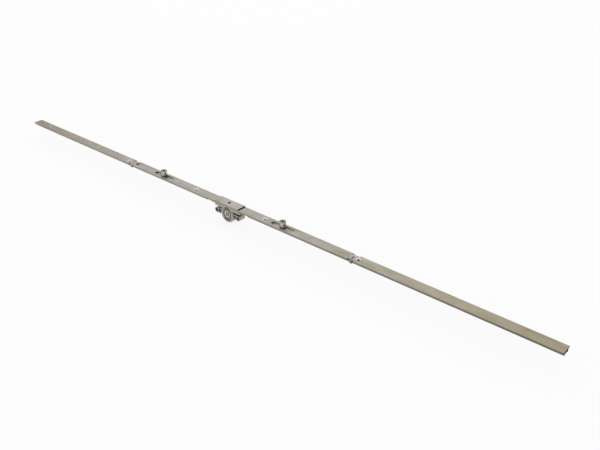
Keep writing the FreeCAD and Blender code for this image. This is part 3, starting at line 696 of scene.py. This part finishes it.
class ESPAGNOLETTE_OT_stage(Operator):
    """Camera, floor, lamp and world"""
    bl_idname = "espagnolette.stage"
    bl_label = "Stage"

    def execute(self, context):
        scene = context.scene
        settings = scene.espagnolette_stage
        self.camera(scene, settings)
        self.floor(scene, settings)
        self.lamp(scene, settings)
        self.room(scene, settings)
        scene.view_settings.view_transform = "Standard"
        return {"FINISHED"}

    def camera(self, scene, settings):
        """Camera at the photograph's viewing angle."""
        lens = bpy.data.cameras.new("camera")
        lens.sensor_width = 36.0
        lens.lens = settings.lens
        lens.clip_start = 0.01
        lens.clip_end = 100.0
        camera = bpy.data.objects.new("camera", lens)
        camera.location = CAMERA_AT
        camera.rotation_euler = (math.pi / 2 - settings.tilt, 0.0, settings.turn)
        scene.collection.objects.link(camera)
        scene.camera = camera

    def floor(self, scene, settings):
        """Pale floor under the gearbox, which the camera, metal and glass see whiter."""
        mesh = bmesh.new()
        bmesh.ops.create_grid(mesh, x_segments=8, y_segments=8, size=FLOOR_HALF)
        data = bpy.data.meshes.new("floor")
        mesh.to_mesh(data)
        mesh.free()
        floor = bpy.data.objects.new("floor", data)
        floor.location.z = CAD_BOX[0].z - 0.1 * MM
        scene.collection.objects.link(floor)
        material, tree, output = blank("matt_white_paper")
        paper = add(tree, "ShaderNodeBsdfDiffuse", None, {"Color": linear(settings.floor)})
        glow = add(tree, "ShaderNodeEmission", None, {"Color": (1, 1, 1, 1), "Strength": 1.0})
        share = add(tree, "ShaderNodeMath", {"operation": "MULTIPLY"}, {
            0: seen_directly(tree), 1: settings.glow})
        mix = add(tree, "ShaderNodeMixShader", None, {
            0: share.outputs["Value"], 1: paper.outputs["BSDF"], 2: glow.outputs["Emission"]})
        tree.links.new(mix.outputs["Shader"], output.inputs["Surface"])
        data.materials.append(material)

    def lamp(self, scene, settings):
        """Broad soft window behind the left end."""
        data = bpy.data.lights.new("window", "AREA")
        data.shape = "RECTANGLE"
        data.size, data.size_y = WINDOW_SIZE
        data.energy = settings.lamp
        lamp = bpy.data.objects.new("window", data)
        lamp.location = WINDOW_AT
        lamp.rotation_euler = (-Vector(WINDOW_AT)).to_track_quat("-Z", "Y").to_euler()
        scene.collection.objects.link(lamp)

    def room(self, scene, settings):
        """Pale room all round, which the camera, metal and glass see white."""
        world = bpy.data.worlds.new("pale_room")
        world.use_nodes = True
        tree = world.node_tree
        sky = tree.nodes["Background"]
        sky.inputs["Color"].default_value = (1, 1, 1, 1)
        strength = add(tree, "ShaderNodeMapRange", None, {
            "Value": seen_directly(tree), "To Min": settings.fill, "To Max": 1.0})
        tree.links.new(strength.outputs["Result"], sky.inputs["Strength"])
        scene.world = world


class ESPAGNOLETTE_OT_plates(Operator):
    """Finish of the faceplate and the raised cover"""
    bl_idname = "espagnolette.plates"
    bl_label = "Faceplate and cover"

    def execute(self, context):
        dress("faceplate", "zinc_plated_rolled_strip")
        dress("cover_plate", "zinc_plated_punched_cover")
        return {"FINISHED"}


class ESPAGNOLETTE_OT_rods(Operator):
    """Drive rods with shoulders under the cam slots, and the links that couple them"""
    bl_idname = "espagnolette.rods"
    bl_label = "Drive rods"

    def execute(self, context):
        for side in SIDES:
            dress("drive_rod_" + side, "zinc_plated_rolled_rod")
            dress("rod_link_" + side, "sintered_steel")
            self.shoulders(side)
        dress("rack_bar", "sintered_steel")
        return {"FINISHED"}

    def shoulders(self, side):
        """Bars beside the rod's rib and lips along its lower edges.

        They close the cam slot to the eye at every place of the rod, so each reaches past
        the slot's half length by more than the rod's travel.
        """
        middle = middle_of("cam_pin_" + side).x / MM
        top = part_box("drive_rod_" + side)[1].z / MM
        reach = 38
        bar = [(3.2, -0.9), (4.7, -0.9), (4.95, -0.65), (4.95, -0.35), (4.7, -0.1), (3.2, -0.1)]
        lip = [(3.0, -3.95), (4.2, -3.95), (4.2, -3.65), (3.1, -3.65)]
        mesh = bmesh.new()
        for edge in (-1, 1):
            for outline in (bar, lip):
                extruded(mesh, [(y * edge, top + z) for y, z in outline], "X",
                         middle - reach, middle + reach)
        finished("rod_shoulders_" + side, mesh, "rod", "zinc_plated_rolled_rod", smooth=20)


class ESPAGNOLETTE_OT_gear_case(Operator):
    """Die-cast halves with fillets, rings, ejector marks and a trimmed parting line"""
    bl_idname = "espagnolette.gear_case"
    bl_label = "Gear case"

    def execute(self, context):
        for half, toward in HALVES:
            dress("gear_case_" + half, "die_cast_zinc_tumbled")
            self.fillets(half, toward)
            self.rings(half, toward)
        self.webs()
        self.flash()
        return {"FINISHED"}

    def fillets(self, half, toward):
        """Hollow fillets where the arms and the rail meet the barrel."""
        mesh = bmesh.new()
        outer = toward * (ARM_FACE - 0.05)
        arm = fillet_outline(ARM_TOP, sizes().fillet, below=False)
        rail = fillet_outline(RAIL_BOTTOM + 0.03, sizes().rail_fillet, below=True)
        for x in (-1, 1):
            for points, z in ((arm, 1), (rail, 1), (arm, -1)):
                extruded(mesh, [(p.x * x, p.y * z) for p in points], "Y", 0.0, outer)
        finished("case_fillets_" + half, mesh, "lock", "die_cast_zinc_tumbled")

    def rings(self, half, toward):
        """Raised rings round the journal and the lugs, and the ejector pins' round marks."""
        mesh = bmesh.new()
        raised_ring(mesh, 8.5, 10.3, height=0.4, lean=0.1, rounding=0.15)
        for x in (-LUG, LUG):
            raised_ring(mesh, 2.85, 3.8, height=0.25, lean=0.1, rounding=0.1,
                        segments=64, centre=(x * MM, 0, 0))
        foot = CASE_FACE - 0.1
        top = CASE_FACE + 0.12
        mark = rounded_profile([(0, foot, 0), (1.3, foot, 0), (1.25, top, 0.05), (0, top, 0)])
        for x, z in ((-20, 10.3), (0, 10.6), (20, 10.3)):
            lathe(mesh, mark, segments=32, centre=(x * MM, -z * MM * toward, 0))
        finished("case_rings_" + half, mesh, "lock", "die_cast_zinc_tumbled", toward=toward)

    def webs(self):
        """Webs 1.8 mm thick on the parting line, which stiffen the arms against the rail."""
        foot = ARM_TOP - 0.2
        top = RAIL_BOTTOM + 0.2
        half = 0.9
        outline = [(11.0, foot), (22.4, foot), (22.8, 4.4), (22.9, 5.4), (23.2, 6.4),
                   (24.0, top), (11.0, top)]
        mesh = bmesh.new()
        for side in (-1, 1):
            extruded(mesh, [(x * side, z) for x, z in outline], "Y", -half, half)
        finished("case_webs", mesh, "lock", "die_cast_zinc_tumbled")

    def flash(self):
        """Thin uneven ridge left where the halves' tool met, trimmed at the barrel's bottom."""
        mesh = bmesh.new()
        end = 68
        steps = 72
        foot = BARREL - 0.1
        half = 0.14
        rows = []
        for k in range(steps + 1):
            angle = math.radians(end * (2 * k / steps - 1))
            uneven = 0.6 + 0.4 * math.sin(k * 1.7) * math.cos(k * 0.45)
            # The ridge stays inside the case's box, whose bottom is the barrel's
            proud = min(sizes().flash * uneven, BARREL / math.cos(angle) - BARREL)
            row = []
            for radius, y in ((foot, -half), (BARREL + proud, 0.0), (foot, half)):
                row.append(mesh.verts.new((radius * math.sin(angle) * MM, y * MM,
                                           -radius * math.cos(angle) * MM)))
            rows.append(row)
        for first, second in zip(rows, rows[1:]):
            for i in range(2):
                mesh.faces.new([first[i], first[i + 1], second[i + 1], second[i]])
        finished("case_flash", mesh, "lock", "die_cast_zinc_tumbled")


class ESPAGNOLETTE_OT_hub(Operator):
    """Spindle hub with a coned mouth and a ring round its square socket"""
    bl_idname = "espagnolette.hub"
    bl_label = "Spindle hub"

    def execute(self, context):
        dress("spindle_hub", "sintered_steel")
        for half, toward in HALVES:
            self.mouth(half, toward)
            self.ring(half, toward)
        return {"FINISHED"}

    def mouth(self, half, toward):
        """Round mouth whose cone leads into the square socket."""
        mesh = bmesh.new()
        # Flats, reach in mm and height over the case's face of each loop
        loops = ((4, 3.5, -0.35), (4, 3.52, -0.2), (0, 5.1, 0.3), (0, 5.25, 0.3), (0, 5.3, -0.1))
        joined(mesh, [loop_of_flats(mesh, flats, reach, CASE_FACE + height, turn=math.pi / 4)
                      for flats, reach, height in loops])
        # The mouth's near-white finish is partly painted highlight
        finished("hub_mouth_" + half, mesh, "hub", "burnished_highlight_steel", toward=toward)

    def ring(self, half, toward):
        """Flat ring round the mouth, between it and the journal."""
        mesh = bmesh.new()
        raised_ring(mesh, 5.7, 6.6, height=0.25, lean=0.05, rounding=0.1)
        finished("hub_ring_" + half, mesh, "hub", "sintered_steel", toward=toward)


class ESPAGNOLETTE_OT_cams(Operator):
    """Turned rollers and pins with rounded edges and a hexagon socket"""
    bl_idname = "espagnolette.cams"
    bl_label = "Cams"

    def execute(self, context):
        for side in SIDES:
            axis = middle_of("cam_pin_" + side)
            at = (axis.x, axis.y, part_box("faceplate")[1].z)
            self.roller(side, at)
            self.pin(side, at)
            dress("cam_collar_" + side, "zinc_plated_pressed_steel")
        return {"FINISHED"}

    def roller(self, side, at):
        """Sleeve with a recess round the pin's head."""
        mesh = bmesh.new()
        edge = sizes().roller_edge
        bore, outer, bottom, top, recess = 2.85, 4.8, 0.55, 8.4, 7.2
        lathe(mesh, rounded_profile([
            (bore, bottom, 0.1), (outer, bottom, edge), (outer, top, edge),
            (ROLLER_RECESS, top, 0.12), (ROLLER_RECESS, recess, 0.2), (bore, recess, 0)]))
        roller = finished("roller_" + side, mesh, "roller_" + side,
                          "turned_zinc_plated_sleeve", at)
        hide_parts("cam_roller_" + side)

    def pin(self, side, at):
        """Pin whose head holds a hexagon socket with a countersunk mouth."""
        mesh = bmesh.new()
        outer = rounded_profile([
            (0, -5.2, 0), (2.9, -5.2, 0.3), (3.2, -4.2, 0), (2.2, -4.2, 0), (2.2, 0.5, 0),
            (2.8, 0.5, 0), (2.8, 7.3, 0), (3.45, 7.3, 0.1), (3.25, 8.6, 0.25), (2.55, 8.6, 0)])
        rings = lathe(mesh, outer, closed=False)

        # The socket has six flats, 4 mm across, and a coned bottom
        walls = [loop_of_flats(mesh, 6, reach, height)
                 for reach, height in ((2.1, 8.5), (2.0, 8.35), (2.0, 5.4))]
        joined(mesh, [rings[-1]] + walls)
        bottom = walls[-1]
        tip = mesh.verts.new((0, 0, 4.9 * MM))
        for k in range(FACETS):
            mesh.faces.new([bottom[k], bottom[(k + 1) % FACETS], tip])
        pin = finished("pin_" + side, mesh, "rod", "turned_zinc_plated_pin", at)
        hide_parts("cam_pin_" + side)


class ESPAGNOLETTE_OT_guides(Operator):
    """Pressed clips with ears in the faceplate's notches, and their countersunk rivets"""
    bl_idname = "espagnolette.guides"
    bl_label = "Guides"

    def execute(self, context):
        self.clip("left", stem=-221.4, ear_end=-213.0, start=-222.0, end=-205.5)
        self.clip("right", stem=220.6, ear_end=228.0, start=216.0, end=228.0)
        for side in SIDES:
            self.rivet(side)
        self.split_head("right")
        return {"FINISHED"}

    def clip(self, side, stem, ear_end, start, end):
        """Plate under the rod with a narrow stem and a wide ear at each edge.

        The places lie along the strip in mm: the stem's start, the ear's end, and the plate's
        start and end.
        """
        low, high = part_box("guide_clip_" + side)
        bottom = low.z / MM
        top = high.z / MM
        stem_end = stem + 3.6
        ear = ear_end - 9.0
        ear_bottom = top - 1.9
        half = 3.9
        inner, outer = 5.3, 5.98
        tongue = inner + 0.3
        chamfer, corner, bend = 0.6, 0.2, 0.25

        mesh = bmesh.new()
        plate = [(start + chamfer, -half), (stem, -half), (stem, -tongue),
                 (stem_end, -tongue), (stem_end, -half), (end - chamfer, -half),
                 (end, -half + chamfer)]
        plate += [(x, -y) for x, y in reversed(plate)]
        plate += [(start, half - chamfer), (start, -half + chamfer)]
        extruded(mesh, plate, "Z", bottom + 0.02, bottom + 0.68)
        outline = [(stem, bottom + bend), (stem + bend, bottom), (stem_end - bend, bottom),
                   (stem_end, bottom + bend), (stem_end, ear_bottom),
                   (ear_end, ear_bottom + corner), (ear_end, top - corner),
                   (ear_end - corner, top), (ear + corner, top), (ear, top - corner),
                   (ear, ear_bottom + corner), (stem, ear_bottom)]
        for edge in (-1, 1):
            extruded(mesh, outline, "Y", inner * edge, outer * edge)
        clip = finished("clip_" + side, mesh, "lock", "zinc_plated_pressed_steel", smooth=20)
        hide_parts("guide_clip_" + side)

    def rivet(self, side):
        """Rivet with a rounded lower head and a countersunk head.

        That head is dished at the left, and flat under its split halves at the right.
        """
        axis = middle_of("guide_rivet_" + side)
        low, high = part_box("guide_rivet_" + side)
        tall = (high.z - low.z) / MM
        head = {"left": [(3.8, tall - 0.02, 0), (3.65, tall, 0), (3.3, tall, 0.1),
                         (2.7, tall - 0.45, 0.3), (0, tall - 0.5, 0)],
                "right": [(3.1, tall - 0.42, 0), (0, tall - 0.46, 0)]}[side]
        mesh = bmesh.new()
        lathe(mesh, rounded_profile([
            (0, 0, 0), (2.8, 0, 0.5), (2.8, 0.8, 0.1), (1.9, 0.8, 0),
            (1.9, tall - 1.1, 0)] + head), closed=False, segments=64)
        # Its dark finish is painted shade
        rivet = finished("rivet_" + side, mesh, "lock", "rivet_shade_steel",
                         (axis.x, axis.y, low.z))
        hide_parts("guide_rivet_" + side)

    def split_head(self, side):
        """Bright halves of a head that the peening punch has split across, 1.3 mm apart."""
        axis = middle_of("guide_rivet_" + side)
        low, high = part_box("guide_rivet_" + side)
        tall = (high.z - low.z) / MM
        half_gap = 0.65
        steps = 24
        mesh = bmesh.new()
        for edge in (-1, 1):
            rows = []
            for radius, height in ((3.1, tall - 0.43), (3.65, tall - 0.1), (3.55, tall)):
                reach = math.acos(half_gap / radius)
                row = []
                for k in range(steps + 1):
                    angle = reach * (2 * k / steps - 1)
                    row.append(mesh.verts.new((edge * radius * math.cos(angle) * MM,
                                               radius * math.sin(angle) * MM, height * MM)))
                rows.append(row)
            mesh.faces.new(rows[0])
            mesh.faces.new(rows[-1][::-1])
            joined(mesh, rows)
        finished("rivet_head_" + side, mesh, "lock", "peened_rivet_steel",
                 (axis.x, axis.y, low.z))


class ESPAGNOLETTE_OT_case_rivets(Operator):
    """Domed rivets across the gear case"""
    bl_idname = "espagnolette.case_rivets"
    bl_label = "Case rivets"

    def execute(self, context):
        mesh = bmesh.new()
        dome = sizes().rivet_dome
        end = ARM_FACE + 0.6
        half = [(2.0, ARM_FACE, 0), (2.4, ARM_FACE, 0.05), (2.35, end, dome), (0.6, end, 0.1),
                (0, end - 0.15, 0)]
        profile = [(radius, -y, rounding) for radius, y, rounding in reversed(half)] + half
        for x in (-CASE_RIVET, CASE_RIVET):
            lathe(mesh, rounded_profile(profile), closed=False, segments=48,
                  centre=(x * MM, 0, 0))
        # Their dark finish is painted shade
        rivets = finished("rivets_across_case", mesh, "lock", "rivet_shade_steel",
                          toward=1)
        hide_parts("case_rivets")
        return {"FINISHED"}


BUILDERS = (
    ESPAGNOLETTE_OT_stage,
    ESPAGNOLETTE_OT_plates,
    ESPAGNOLETTE_OT_rods,
    ESPAGNOLETTE_OT_gear_case,
    ESPAGNOLETTE_OT_case_rivets,
    ESPAGNOLETTE_OT_hub,
    ESPAGNOLETTE_OT_cams,
    ESPAGNOLETTE_OT_guides,
)
GROUPS = {
    "espagnolette_stage": StageSettings,
    "espagnolette_colours": FinishColours,
    "espagnolette_sizes": DetailSizes,
}


class ESPAGNOLETTE_PT_panel(Panel):
    bl_label = "Window espagnolette"
    bl_space_type = "VIEW_3D"
    bl_region_type = "UI"
    bl_category = "Espagnolette"

    def draw(self, context):
        column = self.layout.column()
        for group in GROUPS:
            settings = getattr(context.scene, group)
            for name in settings.__annotations__:
                column.prop(settings, name)
        for builder in BUILDERS:
            column.operator(builder.bl_idname)


def register():
    """Add the groups of settings, the operators and the panel to Blender."""
    for group in GROUPS.values():
        bpy.utils.register_class(group)
    for builder in BUILDERS:
        bpy.utils.register_class(builder)
    bpy.utils.register_class(ESPAGNOLETTE_PT_panel)
    for name, group in GROUPS.items():
        setattr(bpy.types.Scene, name, PointerProperty(type=group))


def unregister():
    """Take them out again, in reverse."""
    for name in GROUPS:
        delattr(bpy.types.Scene, name)
    bpy.utils.unregister_class(ESPAGNOLETTE_PT_panel)
    for builder in reversed(BUILDERS):
        bpy.utils.unregister_class(builder)
    for group in reversed(list(GROUPS.values())):
        bpy.utils.unregister_class(group)


def main():
    """Dress the frame stage by stage."""
    register()
    bpy.ops.espagnolette.stage()
    bpy.ops.espagnolette.plates()
    bpy.ops.espagnolette.rods()
    bpy.ops.espagnolette.gear_case()
    bpy.ops.espagnolette.case_rivets()
    bpy.ops.espagnolette.hub()
    bpy.ops.espagnolette.cams()
    bpy.ops.espagnolette.guides()


if __name__ == "__main__":
    main()
